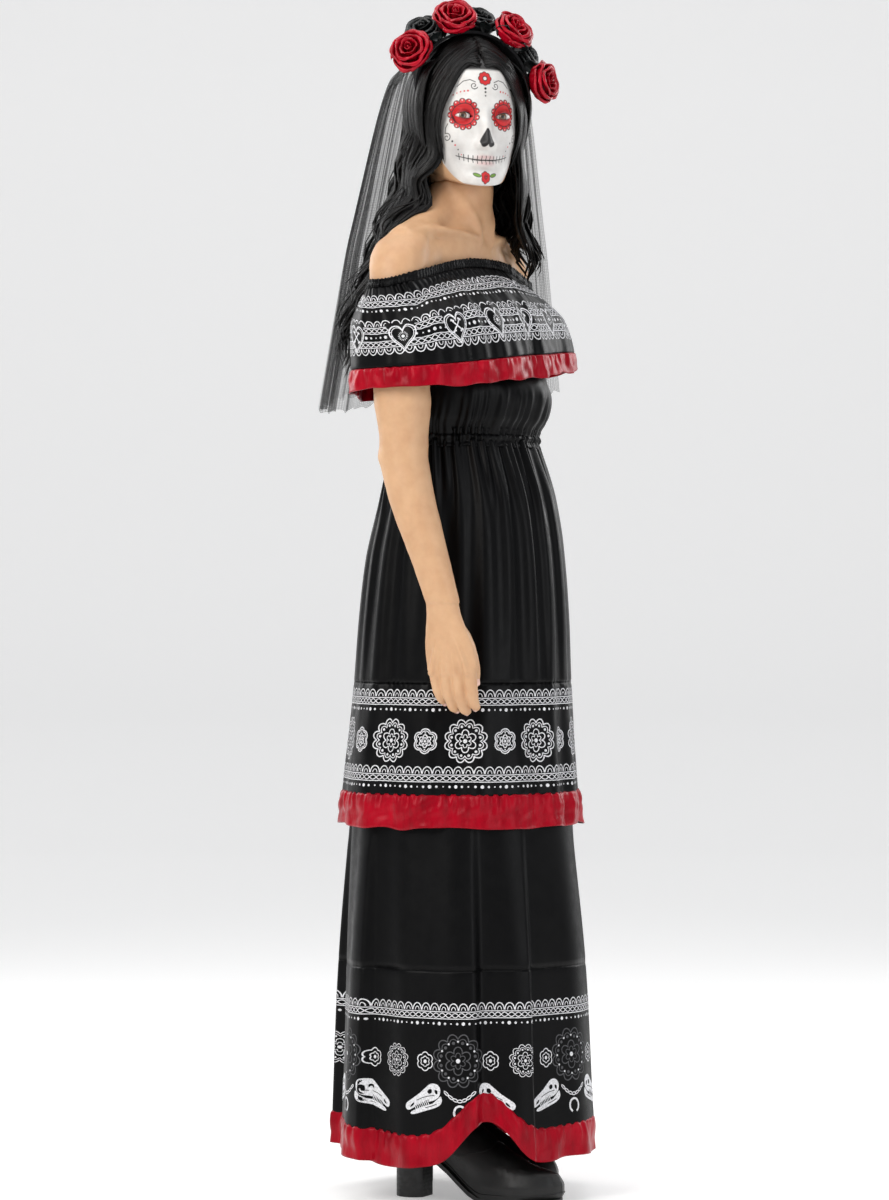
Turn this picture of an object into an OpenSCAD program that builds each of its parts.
// Life-size papier-mache catrina figure with a sewn dress, a wig, a flower headband and a veil.
// The figure faces -Y, its right hand is towards -X, and it stands on its boots at Z = 0.

/* [Figure] */
// Turn of the head to the figure's right, in degrees
head_turn = 44; // [30:1:55]
// Wall of the papier-mache shells
paper_wall = 6; // [4:0.5:7]

/* [Arms] */
// Distance of each arm's turning axis from the middle of the body
arm_axis_x = 188; // [187:0.5:190]
// Height of the seam where each arm turns, under the ruffle
arm_seam_z = 1262; // [1256:1:1264]
// Diameter of the arm pegs
arm_peg_d = 18; // [14:0.5:20]
// Radial clearance of a peg in its bore
peg_clearance = 0.08; // [0.05:0.01:0.1]

/* [Dress] */
// Thickness of the gathered cloth, as its folds stand
cloth = 4; // [3:0.5:5]
// Number of folds round the skirts
skirt_folds = 12; // [8:4:16]
// Height of the underskirt's hem above the floor
hem_z = 56; // [54:1:70]
// How far the underskirt's hem is lifted beside the right foot
hem_lift = 72; // [0:1:80]
// Height of the overskirt's hem
over_hem_z = 552; // [545:1:560]
// Half the width of the ruffle at its hem
ruffle_a = 246; // [244:1:248]

/* [Head] */
// Diameter of the neck peg
neck_peg_d = 30; // [24:1:34]
// Inner radius of the headband's arc
band_r = 86; // [86:1:90]
// Radius of a rose
rose_r = 27; // [20:0.5:28]

/* [Boots] */
// Length of a boot
boot_l = 273; // [260:1:276]
// Half the width of a boot at the ball of the foot
boot_w = 44; // [40:1:46]
// Height of the block heel
heel_h = 58; // [50:1:62]

/* [Hidden] */

// The body's own middle line, measured from the middle of the whole figure's box.
middle = [-9.549, -14.237, 0];
neck_axis = [0, 8, 0];
arm_axis_y = 12;
body_sides = 32;
limb_sides = 20;
skirt_sides = 4 * skirt_folds;
seam = 0.4;

paper = "antiquewhite";
skin_paint = "burlywood";
black_cloth = [0.07, 0.07, 0.07];
black_print = [0.13, 0.13, 0.13];
red_satin = [0.7, 0.04, 0.12];
wood = "tan";
leather = [0.06, 0.05, 0.05];
hair_black = [0.03, 0.03, 0.03];

// ---- Cross-sections, bottom first: [z, half width, half depth, middle x, middle y]
torso_stations = [
  [1142, 108, 88, 0, 4], [1190, 114, 95, 0, 2], [1245, 122, 95, 0, 0], [1290, 126, 89, 0, 5],
  [1340, 130, 74, 0, 20], [1385, 146, 62, 0, 27], [1412, 128, 60, 0, 27], [1432, 88, 56, 0, 23],
  [1450, 62, 54, 0, 18], [1475, 52, 51, 0, 13], [1508, 49, 49, 0, 8]
];
hip_stations = [[842, 120, 104, 0, 6], [930, 120, 104, 0, 4], [1030, 112, 90, 0, 4], [1140, 108, 88, 0, 4]];
shoulder_stations = [
  [arm_seam_z + seam, 40, 40, -188, 12], [1300, 41, 41, -184, 15], [1342, 40, 40, -175, 22],
  [1385, 41, 42, -165, 25], [1410, 36, 38, -150, 25], [1428, 22, 28, -136, 24]
];
right_arm_stations = [
  [881, 20, 26, -198, -66], [900, 21, 27, -198, -60], [945, 26, 29, -198, -45], [1002, 30, 33, -198, -25],
  [1050, 33, 35, -197, -10], [1095, 34, 36, -197, -2], [1120, 35, 36, -196, -1], [1176, 40, 41, -195, 2],
  [arm_seam_z, 40, 40, -188, 12]
];
left_arm_stations = [
  [881, 20, 26, -196, -16], [900, 21, 27, -197, -11], [945, 26, 29, -198, 2], [1002, 30, 33, -198, 15],
  [1050, 33, 35, -198, 25], [1095, 34, 36, -198, 29], [1120, 35, 36, -197, 27], [1176, 40, 41, -195, 21],
  [arm_seam_z, 40, 40, -188, 12]
];
leg_stations = [[242, 36, 38], [400, 44, 50], [520, 44, 50], [680, 50, 58], [832, 52, 70]];
over_stations = [
  [over_hem_z - 4, 180, 180, 0, 12], [600, 176, 175, 0, 12], [762, 163, 162, 0, 8], [855, 159, 156, 0, 5],
  [945, 153, 147, 0, 2], [1035, 145, 127, 0, -3], [1112, 133, 104, 0, 1]
];
under_stations = [
  [hem_z - 4, 193, 193, 0, 2], [135, 189, 189, 0, 4], [345, 181, 181, 0, 5], [545, 167, 167, 0, 7],
  [600, 163, 163, 0, 7], [762, 151, 151, 0, 5], [855, 147, 145, 0, 3], [945, 141, 134, 0, 1],
  [1035, 133, 115, 0, -1], [1110, 124, 97, 0, 2]
];
bodice_stations = [
  [1138, 131, 104, 0, 2], [1158, 142, 113, 0, -3], [1188, 142, 118, 0, -6], [1222, 142, 110, 0, -3],
  [1250, 142, 104, 0, -2], [1276, 141, 103, 0, 2], [1300, 139, 101, 0, 7], [1340, 139, 84, 0, 22],
  [1370, 140, 70, 0, 30]
];
// Rows of the ruffle, hem first: [share of its drop, half width, half depth, middle y]
ruffle_rows = [[1, ruffle_a, 122, 1], [0.6, 242, 114, 8], [0.25, 235, 99, 20], [0, 222, 76, 30]];
ruffle_trim_rows = [[1.26, ruffle_a + 2, 126, 0], [1.01, ruffle_a, 122, 1]];
ruffle_power = 2.6;

// Level cross-sections of the head, which is drawn facing -Y with the neck's axis at its origin.
head_stations = [
  [1525, 58, 70, 0, -22], [1560, 70, 90, 0, -22], [1590, 74, 95, 0, -20], [1620, 75, 96, 0, -19],
  [1650, 73, 94, 0, -18], [1672, 65, 85, 0, -17], [1688, 51, 68, 0, -16], [1698, 32, 44, 0, -16],
  [1702, 12, 16, 0, -16]
];

// ---- Geometry helpers

function at_z(st, z, i = 0) =
  (i == len(st) - 2 || z <= st[i + 1][0])
  ? let (t = (z - st[i][0]) / (st[i + 1][0] - st[i][0])) st[i] * (1 - t) + st[i + 1] * t
  : at_z(st, z, i + 1);

function mix(a, b, t) = a * (1 - t) + b * t;

function signed_pow(v, p) = sign(v) * pow(abs(v), p);

// A level ring round one cross-section. grow widens it.
function ring(st, z, grow = 0, n = body_sides) =
  let (s = at_z(st, z))
  [for (i = [0 : n - 1]) let (t = 360 * i / n) [s[3] + (s[1] + grow) * cos(t), s[4] + (s[2] + grow) * sin(t), z]];

function rings(st, zs, grow = 0, n = body_sides) = [for (z = zs) ring(st, z, grow, n)];

function heights(st) = [for (s = st) s[0]];

// The skirts' folds fade out towards the waist, and the underskirt's hem is lifted beside one foot.
function fold_depth(z) = 6 * min(1, max(0.2, (1125 - z) / 160));

function lift(z, t) = hem_lift * pow(max(0, cos(t - 219)), 30) * max(0, min(1, (345 - z) / 285));

function skirt_ring(st, z, grow, lifted) =
  let (s = at_z(st, z), n = skirt_sides)
  [for (i = [0 : n - 1])
    let (t = 360 * i / n, w = grow + fold_depth(z) * cos(skirt_folds * t))
    [(s[1] + w) * cos(t), s[4] + (s[2] + w) * sin(t), z + (lifted ? lift(z, t) : 0)]];

function flat(list) = [for (g = list) each g];

// Triangles between two neighbouring rings, seen from outside.
function band(first, second, n) =
  flat([for (i = [0 : n - 1]) let (j = (i + 1) % n)
    [[first + i, second + i, second + j], [first + i, second + j, first + j]]]);

function flip(faces) = [for (f = faces) [f[2], f[1], f[0]]];

function wall_faces(n, rows, start) =
  flat([for (k = [0 : rows - 2]) band(start + k * n, start + (k + 1) * n, n)]);

// A hollow shell between outer and inner rings, bottom first. With closed, its top is capped.
module shell(outer, inner, closed = false) {
  n = len(outer[0]);
  r = len(outer);
  m = r * n;
  top_outer = [for (i = [n - 1 : -1 : 0]) (r - 1) * n + i];
  top_inner = [for (i = [0 : n - 1]) m + (r - 1) * n + i];
  polyhedron(
    points = concat(flat(outer), flat(inner)),
    faces = concat(
      wall_faces(n, r, 0),
      flip(wall_faces(n, r, m)),
      flip(band(0, m, n)),
      closed ? [top_outer, top_inner] : band((r - 1) * n, m + (r - 1) * n, n)
    )
  );
}

// A solid between rings, bottom first, capped at both ends.
module loft(rows) {
  n = len(rows[0]);
  r = len(rows);
  polyhedron(
    points = flat(rows),
    faces = concat(
      wall_faces(n, r, 0),
      [[for (i = [n - 1 : -1 : 0]) (r - 1) * n + i], [for (i = [0 : n - 1]) i]]
    )
  );
}

function strip(n, start, k) =
  flat([for (i = [0 : n - 2])
    let (a = start + k * n + i, b = a + n)
    [[a, b, b + 1], [a, b + 1, a + 1]]]);

// A curved sheet between an outer and an inner grid of rows. Rows go from the bottom up and from
// the figure's left round its back to its right, so the outer side is seen from outside.
module panel(outer, inner) {
  n = len(outer[0]);
  r = len(outer);
  m = r * n;
  sides = flat([for (k = [0 : r - 2])
    let (a = k * n, b = a + n, c = a + n - 1, d = c + n)
    [[a, m + b, b], [a, m + a, m + b], [c, d, m + d], [c, m + d, m + c]]]);
  ends = flat([for (i = [0 : n - 2])
    let (t = (r - 1) * n + i)
    [[i, i + 1, m + i + 1], [i, m + i + 1, m + i], [t, m + t + 1, t + 1], [t, m + t, m + t + 1]]]);
  polyhedron(
    points = concat(flat(outer), flat(inner)),
    faces = concat(
      flat([for (k = [0 : r - 2]) strip(n, 0, k)]),
      flip(flat([for (k = [0 : r - 2]) strip(n, m, k)])),
      sides, ends
    )
  );
}

module rod(from, to, d) {
  v = to - from;
  length = norm(v);
  translate(from)
    rotate([0, acos(v[2] / length), atan2(v[1], v[0])])
      cylinder(h = length, d = d, $fn = 64);
}

module on_side(side) {
  if (side < 0) children();
  else mirror([1, 0, 0]) children();
}

module place() {
  translate(middle) children();
}

module place_head() {
  translate(middle + neck_axis) rotate(-head_turn) children();
}

// ---- Boots, drawn for the right foot with the heel's back at the origin and the toe towards -Y.
heel_x = 65;
heel_y = 82;
left_set_back = 69;
sole_t = 7;

function set_back(side) = side < 0 ? 0 : left_set_back;

module place_boot(side) {
  place() on_side(side) translate([-heel_x, heel_y + set_back(side), 0]) children();
}

// Height of the sole's top along the foot: s is 0 at the heel's back and 1 at the toe.
function sole_rise(s) =
  let (t = min(1, max(0, (s - 0.24) / 0.36)))
  sole_t + (heel_h - 1) * (1 - t * t * (3 - 2 * t)) + 4 * max(0, s - 0.84) / 0.16;

// Rows of the upper: [back y, front y, half width, back z, front z, share of the sole's rise]
boot_rows = [
  [-3, -boot_l + 3, boot_w - 3, 0.2, 0.2, 1], [1, -boot_l, boot_w, 16, 18, 1],
  [2, -boot_l + 7, boot_w - 3, 34, 34, 1], [2, -boot_l + 52, boot_w - 7, 98, 58, 0],
  [0, -boot_l + 110, boot_w - 9, 124, 92, 0], [-2, -118, 38, 150, 136, 0],
  [-1, -106, 40, 190, 186, 0], [1, -106, 43, 235, 235, 0]
];

function boot_ring(row, inset, n = 28) =
  let (back = row[0] - inset, front = row[1] + inset, reach = (back - front) / 2)
  [for (i = [0 : n - 1])
    let (
      t = 360 * i / n,
      y = (back + front) / 2 + reach * sin(t),
      s = -y / boot_l,
      narrow = 1 - row[5] * 0.28 * min(1, max(0, (0.5 - s) * 3)),
      z = mix(row[4], row[3], (y - front) / (2 * reach)) + row[5] * sole_rise(s)
    )
    [(row[2] - inset) * narrow * signed_pow(cos(t), 0.8), y, z]];

module boot_upper(side) {
  color(leather) place_boot(side)
    shell([for (r = boot_rows) boot_ring(r, 0)], [for (r = boot_rows) boot_ring(r, 4)]);
}

module boot_sole(side) {
  steps = 16;
  top = [for (i = [0 : steps]) [-boot_l * i / steps, sole_rise(i / steps)]];
  under = [for (i = [steps : -1 : 0]) [-boot_l * i / steps, sole_rise(i / steps) - sole_t]];
  color(leather) place_boot(side)
    intersection() {
      linear_extrude(height = heel_h + 20)
        union() {
          translate([0, -32]) circle(r = 29, $fn = 48);
          polygon([[-29, -32], [29, -32], [boot_w - 5, 70 - boot_l], [5 - boot_w, 70 - boot_l]]);
          translate([0, 70 - boot_l]) circle(r = boot_w - 5, $fn = 64);
          translate([0, 42 - boot_l]) circle(r = boot_w - 4, $fn = 64);
        }
      rotate([90, 0, 90])
        linear_extrude(height = 2 * boot_w + 4, center = true) polygon(concat(top, under));
    }
}

module boot_heel(side) {
  color(leather) place_boot(side)
    linear_extrude(height = heel_h - 1.2)
      intersection() {
        translate([0, -30]) circle(r = 27, $fn = 64);
        translate([-30, -52]) square([60, 52]);
      }
}

// ---- Wooden armature
hip_z = 850;
hip_block_h = 90;
yoke_z = 1316;
yoke_h = 28;
peg_top_z = 1552;

module leg_post(side) {
  color(wood) place() on_side(side)
    rod([-66, heel_y - 40 + set_back(side), sole_t + heel_h + 1.4], [-56, 16, hip_z - 2], 28);
}

module leg_shell(side) {
  back = set_back(side);
  rows = [for (s = leg_stations)
    let (t = (s[0] - 242) / 590)
    [s[0], s[1], s[2], -mix(66, 60, t), mix(heel_y - 46 + back * 0.9, 10, t)]];
  color(paper) place() on_side(side)
    shell(rings(rows, heights(rows), 0, limb_sides), rings(rows, heights(rows), -paper_wall, limb_sides));
}

module hip_block() {
  color(wood) place() translate([-98, -30, hip_z]) cube([196, 80, hip_block_h]);
}

module spine_post() {
  color(wood) place()
    translate([-20, -10, hip_z + hip_block_h + 0.2])
      cube([40, 40, yoke_z - hip_z - hip_block_h - 0.4]);
}

module shoulder_yoke() {
  color(wood) place()
    difference() {
      translate([0, arm_axis_y, yoke_z])
        union() {
          translate([-arm_axis_x, -14, 0]) cube([2 * arm_axis_x, 28, yoke_h]);
          for (x = [-arm_axis_x, arm_axis_x])
            translate([x, 0, 0]) cylinder(h = yoke_h, r = 14, $fn = 64);
        }
      for (x = [-arm_axis_x, arm_axis_x])
        translate([x, arm_axis_y, yoke_z - 1]) cylinder(h = yoke_h + 2, d = arm_peg_d + 0.2, $fn = 64);
    }
}

module neck_plate() {
  color(wood) place()
    difference() {
      translate(neck_axis + [0, 0, 1508.3]) cylinder(h = 10.7, r = 47, $fn = 96);
      translate(neck_axis + [0, 0, 1500]) cylinder(h = 30, d = neck_peg_d + 0.1, $fn = 96);
    }
}

module neck_peg() {
  color(wood) place()
    translate(neck_axis + [0, 0, yoke_z + yoke_h + 0.2])
      cylinder(h = peg_top_z - yoke_z - yoke_h - 0.2, d = neck_peg_d, $fn = 96);
}

module shoulder_block(side) {
  color(wood) place() on_side(side)
    translate([-arm_axis_x, arm_axis_y, 0])
      difference() {
        translate([0, 0, arm_seam_z + seam]) cylinder(h = 44, r = 27, $fn = 64);
        translate([0, 0, arm_seam_z - 1]) cylinder(h = 50, d = arm_peg_d + 0.2, $fn = 64);
      }
}

module arm_peg(side) {
  color(wood) place() on_side(side)
    translate([-arm_axis_x, arm_axis_y, arm_seam_z - 44])
      cylinder(h = yoke_z + yoke_h - arm_seam_z + 44, d = arm_peg_d, $fn = 96);
}

// ---- Papier-mache body
module torso_shell() {
  color(skin_paint) place()
    shell(
      rings(torso_stations, heights(torso_stations)),
      rings(torso_stations, heights(torso_stations), -paper_wall)
    );
}

module hip_shell() {
  color(paper) place()
    shell(
      rings(hip_stations, heights(hip_stations)),
      rings(hip_stations, heights(hip_stations), -paper_wall)
    );
}

module shoulder_shell(side) {
  zs = heights(shoulder_stations);
  inner_zs = [for (z = zs) z > 1420 ? z - paper_wall : z];
  inner = [for (i = [0 : len(zs) - 1])
    [for (p = ring(shoulder_stations, zs[i], -paper_wall, limb_sides)) [p[0], p[1], inner_zs[i]]]];
  color(skin_paint) place() on_side(side)
    shell(rings(shoulder_stations, zs, 0, limb_sides), inner, true);
}

// ---- Arms
function arm_stations(side) = side < 0 ? right_arm_stations : left_arm_stations;

module arm_shell(side) {
  st = arm_stations(side);
  color(skin_paint) place() on_side(side)
    shell(rings(st, heights(st), 0, limb_sides), rings(st, heights(st), -paper_wall, limb_sides));
}

module arm_plug(side) {
  color(wood) place() on_side(side)
    translate([-arm_axis_x, arm_axis_y, arm_seam_z - 48])
      difference() {
        cylinder(h = 47.6, r = 25, $fn = 64);
        translate([0, 0, -1]) cylinder(h = 50, d = arm_peg_d + 2 * peg_clearance, $fn = 96);
      }
}

// Finger rows: [z, half thickness, half width, x, y] from the wrist's middle; the palm faces the body.
palm_rows = [
  [-108, 12, 41, 2, -15], [-97, 13, 42, 2, -15], [-72, 14, 40, 1, -12], [-40, 16, 33, 0, -6],
  [-18, 18, 27, 0, -2], [-0.5, 19.5, 25.5, 0, 0], [0, 13, 19, 0, 0], [22, 13, 19, 0, 5]
];
finger_tips = [[-45, -40, -162], [-24, -23, -171], [-4, -6, -166], [17, 8, -152]];
thumb_rows = [[-112, 7, 7, 20, -38], [-104, 9, 9, 20, -38], [-70, 11, 11, 17, -33], [-38, 9, 12, 8, -22]];

module hand(side) {
  wrist = at_z(arm_stations(side), 881);
  color(skin_paint) place() on_side(side)
    translate([wrist[3], wrist[4], 880.6])
      union() {
        loft(rings(palm_rows, heights(palm_rows), 0, 16));
        for (f = finger_tips) {
          rows = [
            [f[2], 5, 5.5, 14, f[1]], [f[2] + 8, 8, 8.5, 13, f[1]],
            [f[2] + 30, 9, 9.5, 7, mix(f[0], f[1], 0.6)], [-104, 10, 10.5, 3, f[0] - 1]
          ];
          loft(rings(rows, heights(rows), 0, 10));
        }
        loft(rings(thumb_rows, heights(thumb_rows), 0, 10));
      }
}

// ---- Dress
function neck_z(t) = 1342 + 33 * pow(sin(t), 2) + 6 * (1 + cos(t + 30));

function ruffle_hem_z(t) = 1220 + 42 * pow((1 + cos(t + 40)) / 2, 2);

function ruffle_ring(row, grow, n = 48) =
  [for (i = [0 : n - 1])
    let (
      t = 360 * i / n,
      w = grow + 3.5 * min(1, row[0]) * cos(12 * t),
      p = 2 / (ruffle_power - 0.3 * min(1, row[0]))
    )
    [
      (row[1] + w) * signed_pow(cos(t), p),
      row[3] + (row[2] + w) * signed_pow(sin(t), p),
      mix(neck_z(t) - 4.4, ruffle_hem_z(t), row[0])
    ]];

module ruffle() {
  color(black_print) place()
    shell([for (r = ruffle_rows) ruffle_ring(r, 0)], [for (r = ruffle_rows) ruffle_ring(r, -cloth)]);
}

module ruffle_trim() {
  color(red_satin) place()
    shell(
      [for (r = ruffle_trim_rows) ruffle_ring(r, 0)],
      [for (r = ruffle_trim_rows) ruffle_ring(r, -cloth)]
    );
}

function neckline_ring(w, dz, n = 48) =
  [for (i = [0 : n - 1])
    let (t = 360 * i / n, p = 2 / ruffle_power)
    [(222 + w) * signed_pow(cos(t), p), 30 + (76 + w) * signed_pow(sin(t), p), neck_z(t) + dz]];

module neckline_elastic() {
  color(black_cloth) place()
    shell([neckline_ring(0, -4), neckline_ring(0, 4)], [neckline_ring(-5, -4), neckline_ring(-5, 4)]);
}

function bodice_ring(share, grow, n = 48) =
  [for (i = [0 : n - 1])
    let (
      t = 360 * i / n,
      z = mix(1138, 1290 + 62 * pow(sin(t), 2), share),
      s = at_z(bodice_stations, z),
      w = grow + 2 * cos(12 * t)
    )
    [s[3] + (s[1] + w) * cos(t), s[4] + (s[2] + w) * sin(t), z]];

bodice_shares = [0, 0.12, 0.33, 0.66, 1];

module bodice() {
  color(black_cloth) place()
    shell(
      [for (s = bodice_shares) bodice_ring(s, 0)],
      [for (s = bodice_shares) bodice_ring(s, -cloth)]
    );
}

module waist_elastic() {
  oval = function (w, z) [for (i = [0 : 47]) let (t = 7.5 * i) [(135 + w) * cos(t), 2 + (106 + w) * sin(t), z]];
  color(black_cloth) place()
    shell([oval(0, 1112.4), oval(0, 1137.6)], [oval(-5, 1112.4), oval(-5, 1137.6)]);
}

// A tier of a skirt, between the heights in zs.
module tier(st, zs, lifted, paint) {
  color(paint) place()
    shell(
      [for (z = zs) skirt_ring(st, z, 0, lifted)],
      [for (z = zs) skirt_ring(st, z, -cloth, lifted)]
    );
}

module overskirt() {
  tier(over_stations, [762 + seam, 855, 945, 1035, 1075, 1112], false, black_cloth);
}

module overskirt_border() {
  tier(over_stations, [602, 680, 762], false, black_print);
}

module overskirt_trim() {
  tier(over_stations, [over_hem_z, 602 - seam], false, red_satin);
}

module underskirt() {
  tier(under_stations, [345 + seam, 450, 560, 762, 945, 1035, 1108], true, black_cloth);
}

module underskirt_border() {
  tier(under_stations, [105, 190, 345], true, black_print);
}

module underskirt_trim() {
  tier(under_stations, [hem_z, 105 - seam], true, red_satin);
}

// ---- Head
function chin_ring(cy, a, b, front_z, back_z, inset, lift_z, n = 28) =
  [for (i = [0 : n - 1])
    let (t = 360 * i / n)
    [(a - inset) * cos(t), cy + (b - inset) * sin(t), mix(front_z, back_z, (1 + sin(t)) / 2) + lift_z]];

jaw_rows = [[0, 54, 54, 1518, 1540], [-26, 58, 82, 1492, 1548], [-24, 68, 89, 1528, 1566]];
skull_zs = [1592, 1620, 1650, 1672, 1688, 1698, 1702];

module head_shell() {
  outer = concat(
    [for (j = jaw_rows) chin_ring(j[0], j[1], j[2], j[3], j[4], 0, 0)],
    rings(head_stations, skull_zs, 0, 28)
  );
  inner = concat(
    [for (k = [0 : 2]) let (j = jaw_rows[k])
      chin_ring(j[0], j[1], j[2], j[3], j[4], k == 0 ? 0 : paper_wall, [6, 9, 3][k])],
    [for (z = skull_zs) [for (p = ring(head_stations, z, -paper_wall, 28)) [p[0], p[1], z - (z > 1660 ? 6 : 0)]]]
  );
  color(paper) place_head() shell(outer, inner, true);
}

module head_block() {
  color(wood) place_head()
    difference() {
      translate([0, 0, 1519.6]) cylinder(h = 38, r = 51, $fn = 96);
      translate([0, 0, 1510]) cylinder(h = 50, d = neck_peg_d + 2 * peg_clearance, $fn = 96);
    }
}

module eye(side) {
  color("white") place_head() on_side(side) translate([-31, -97, 1597]) sphere(r = 12, $fn = 48);
}

// A point over the head's surface: t is 0 at its left, 90 at its back and 180 at its right.
function over_head(z, t, grow) =
  let (s = at_z(head_stations, z))
  [(s[1] + grow) * cos(t), s[4] + (s[2] + grow) * sin(t), z];

module wig_cap() {
  low = function (t) mix(1672, 1545, pow((1 + sin(t)) / 2, 0.7));
  cap_row = function (share, grow) [for (i = [0 : 27])
    let (t = 360 * i / 28, z = mix(low(t), 1692, share)) over_head(z, t, grow)];
  crown = function (grow, top) [for (p = cap_row(1, grow - 18)) [p[0], p[1], top]];
  color(hair_black) place_head()
    shell(
      [cap_row(0, 5), cap_row(0.3, 6), cap_row(0.6, 7), cap_row(1, 8), crown(8, 1708)],
      [cap_row(0, 1), cap_row(0.3, 1), cap_row(0.6, 1), cap_row(1, 2), crown(2, 1703)],
      true
    );
}

// One lock curtain of the fringe, from the parting down beside the face.
module fringe_fall(side) {
  angles = [212, 223, 234, 245, 256, 264];
  row = function (k, grow) [for (i = [0 : 5])
    let (share = k / 4, open = mix(0, 22, share) * i / 5, z = mix(1666, 1575 + 14 * i, share))
    over_head(z, angles[i] - open, grow)];
  on_side(side) panel([for (k = [4 : -1 : 0]) row(k, 12)], [for (k = [4 : -1 : 0]) row(k, 9)]);
}

module fringe() {
  color(hair_black) place_head()
    union() {
      fringe_fall(-1);
      fringe_fall(1);
    }
}

// A fall of hair: head angles at its top, then its lower edge as points in the body's frame.
function hair_row(angles, ends, share, grow) =
  [for (i = [0 : len(angles) - 1])
    let (
      top = over_head(1620, angles[i], 9),
      c = cos(head_turn), s = -sin(head_turn),
      from = [c * top[0] - s * top[1], s * top[0] + c * top[1] + neck_axis[1], 1620],
      out = [cos(angles[i] - head_turn), sin(angles[i] - head_turn), 0],
      swing = sin(90 * share)
    )
    [mix(from[0], ends[i][0], swing), mix(from[1], ends[i][1], swing), mix(1620, ends[i][2], share)]
      + grow * mix(0.4, 1, sin(150 * share)) * out];

module hair_fall(angles, ends, thick) {
  shares = [1, 0.8, 0.6, 0.4, 0.2, 0];
  color(hair_black) place()
    panel([for (s = shares) hair_row(angles, ends, s, thick)], [for (s = shares) hair_row(angles, ends, s, 0)]);
}

module hair_back() {
  hair_fall(
    [60, 80, 100, 120], [[150, 86, 1400], [100, 118, 1380], [46, 136, 1370], [-14, 142, 1370]], 18
  );
}

module hair_right() {
  hair_fall(
    [126, 140, 155, 170, 185],
    [[-24, 148, 1300], [-66, 152, 1260], [-104, 140, 1300], [-142, 112, 1400], [-110, 78, 1452]], 18
  );
}

module hair_left() {
  hair_fall(
    [-8, 8, 24, 40, 54], [[88, -66, 1384], [120, -52, 1380], [152, -38, 1420], [150, 10, 1446], [156, 70, 1420]], 16
  );
}

// ---- Headband, roses and veil
band_z = 1640;
band_t = 4;
// Places round the headband, in degrees from the top towards the figure's left.
rose_angles = [-60, -36, -15, 10, 34, 56, 81];

module headband() {
  color(black_cloth) place_head()
    difference() {
      translate([0, -26, band_z]) rotate([90, 0, 0])
        difference() {
          cylinder(h = 30, r = band_r + band_t, $fn = 128);
          translate([0, 0, -1]) cylinder(h = 32, r = band_r, $fn = 128);
        }
      translate([-150, -100, band_z - 150]) cube([300, 200, 147]);
    }
}

module rose(number) {
  red = number % 2 == 0;
  lean = red ? 12 : -14;
  color(red ? red_satin : black_cloth) place_head()
    translate([0, red ? -60 : -22, band_z]) rotate([0, rose_angles[number], 0])
      translate([0, 0, band_r + band_t + 3.4]) rotate([lean, 0, 0])
        rotate_extrude($fn = 48)
          polygon([
            [0, 0], [0.45 * rose_r, 0], [0.85 * rose_r, 9], [rose_r, 20], [0.9 * rose_r, 34],
            [0.7 * rose_r, 39], [0.58 * rose_r, 31], [0.44 * rose_r, 44], [0.22 * rose_r, 48], [0, 44]
          ]);
}

veil_ends = [[268, -28], [262, 36], [232, 98], [170, 160], [90, 205], [20, 224], [-50, 218], [-120, 192]];

function veil_end(u) =
  let (p = u * (len(veil_ends) - 1), i = min(floor(p), len(veil_ends) - 2))
  mix(veil_ends[i], veil_ends[i + 1], p - i);

function to_body(p) =
  let (c = cos(head_turn), s = -sin(head_turn))
  [c * p[0] - s * p[1], s * p[0] + c * p[1] + neck_axis[1], p[2]];

function veil_row(share, grow, n = 25) =
  [for (i = [0 : n - 1])
    let (
      u = i / (n - 1),
      t = mix(14, 166, u),
      w = grow + 3 * min(1, 3 * share) * cos(45 * i),
      from = to_body([(112 + w) * cos(t), -20 + (118 + w) * sin(t), 1648]),
      end = veil_end(u),
      out = [cos(t - head_turn), sin(t - head_turn)] * w,
      swing = sin(90 * share)
    )
    [
      mix(from[0], end[0] + out[0], swing), mix(from[1], end[1] + out[1], swing),
      mix(1648, mix(1210, 1156, u), share)
    ]];

// The veil's upper part, which comes back from the headband over the crown.
function veil_crown_row(k, grow, n = 25) =
  [for (i = [0 : n - 1])
    let (
      u = i / (n - 1),
      t = mix(14, 166, u),
      arch = mix(84, -76, u),
      over = k == 2
        ? [(93 + grow) * sin(arch), -12, band_z + (93 + grow) * cos(arch)]
        : [(96 + grow) * cos(t), 4 + (74 + grow) * sin(t), 1658 + (56 + grow) * sin(180 * u)]
    )
    to_body(over)];

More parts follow.
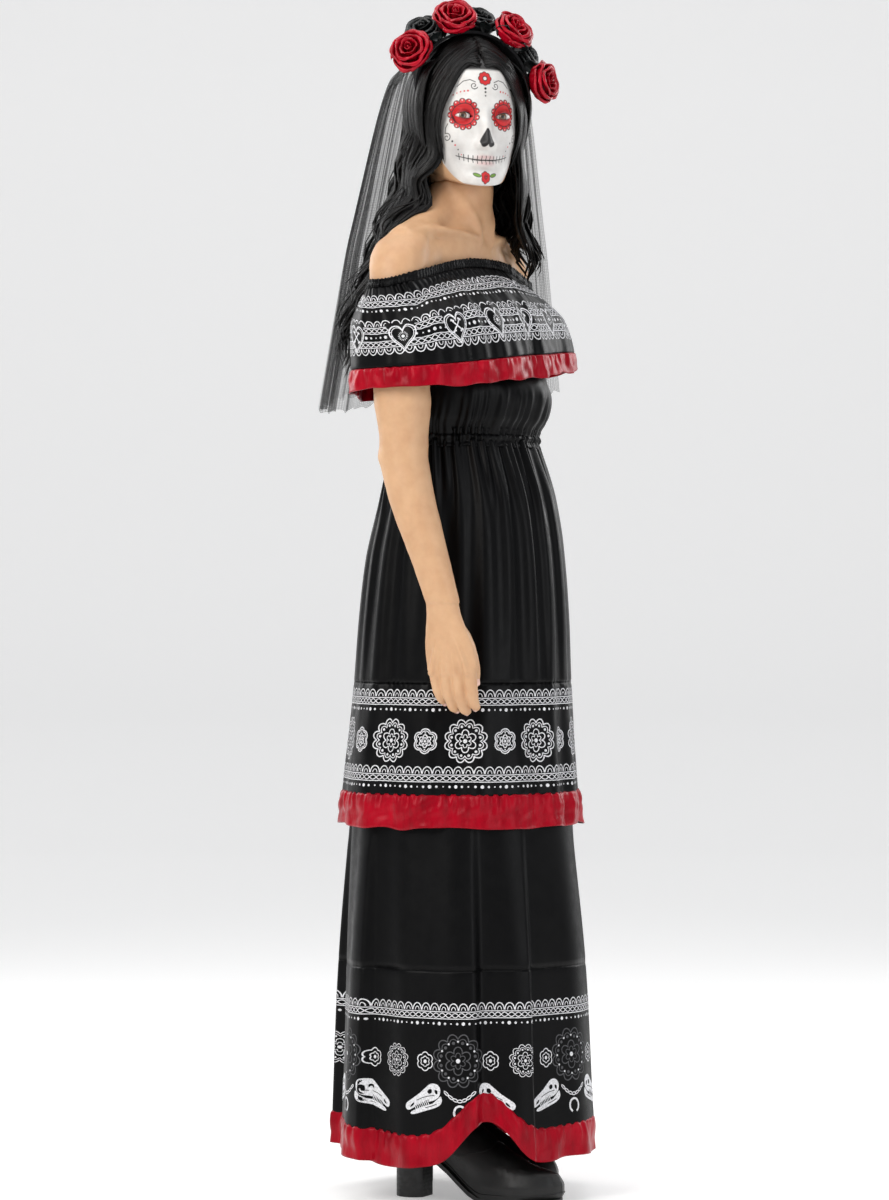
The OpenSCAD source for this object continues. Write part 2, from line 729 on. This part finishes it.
module veil() {
  shares = [1, 0.8, 0.6, 0.4, 0.2, 0];
  color([0.1, 0.1, 0.1, 0.6]) place()
    panel(
      concat([for (s = shares) veil_row(s, 0)], [veil_crown_row(1, 0), veil_crown_row(2, 0)]),
      concat([for (s = shares) veil_row(s, -4)], [veil_crown_row(1, -4), veil_crown_row(2, -4)])
    );
}

// ---- Named parts
module right_boot_upper() boot_upper(-1);
module right_boot_sole() boot_sole(-1);
module right_boot_heel() boot_heel(-1);
module left_boot_upper() boot_upper(1);
module left_boot_sole() boot_sole(1);
module left_boot_heel() boot_heel(1);
module right_leg_post() leg_post(-1);
module left_leg_post() leg_post(1);
module right_leg_shell() leg_shell(-1);
module left_leg_shell() leg_shell(1);
module right_shoulder_block() shoulder_block(-1);
module left_shoulder_block() shoulder_block(1);
module right_arm_peg() arm_peg(-1);
module left_arm_peg() arm_peg(1);
module right_shoulder_shell() shoulder_shell(-1);
module left_shoulder_shell() shoulder_shell(1);
module right_eye() eye(-1);
module left_eye() eye(1);
module rose_red_1() rose(0);
module rose_black_1() rose(1);
module rose_red_2() rose(2);
module rose_black_2() rose(3);
module rose_red_3() rose(4);
module rose_black_3() rose(5);
module rose_red_4() rose(6);
module right_arm_shell() arm_shell(-1);
module right_arm_plug() arm_plug(-1);
module right_hand() hand(-1);
module left_arm_shell() arm_shell(1);
module left_arm_plug() arm_plug(1);
module left_hand() hand(1);

right_boot_upper();
right_boot_sole();
right_boot_heel();
left_boot_upper();
left_boot_sole();
left_boot_heel();
right_leg_post();
left_leg_post();
right_leg_shell();
left_leg_shell();
hip_block();
spine_post();
shoulder_yoke();
neck_plate();
neck_peg();
right_shoulder_block();
left_shoulder_block();
right_arm_peg();
left_arm_peg();
torso_shell();
right_shoulder_shell();
left_shoulder_shell();
hip_shell();
neckline_elastic();
ruffle();
ruffle_trim();
bodice();
waist_elastic();
overskirt();
overskirt_border();
overskirt_trim();
underskirt();
underskirt_border();
underskirt_trim();
head_shell();
head_block();
right_eye();
left_eye();
wig_cap();
fringe();
hair_right();
hair_left();
hair_back();
headband();
rose_red_1();
rose_black_1();
rose_red_2();
rose_black_2();
rose_red_3();
rose_black_3();
rose_red_4();
veil();
right_arm_shell();
right_arm_plug();
right_hand();
left_arm_shell();
left_arm_plug();
left_hand();
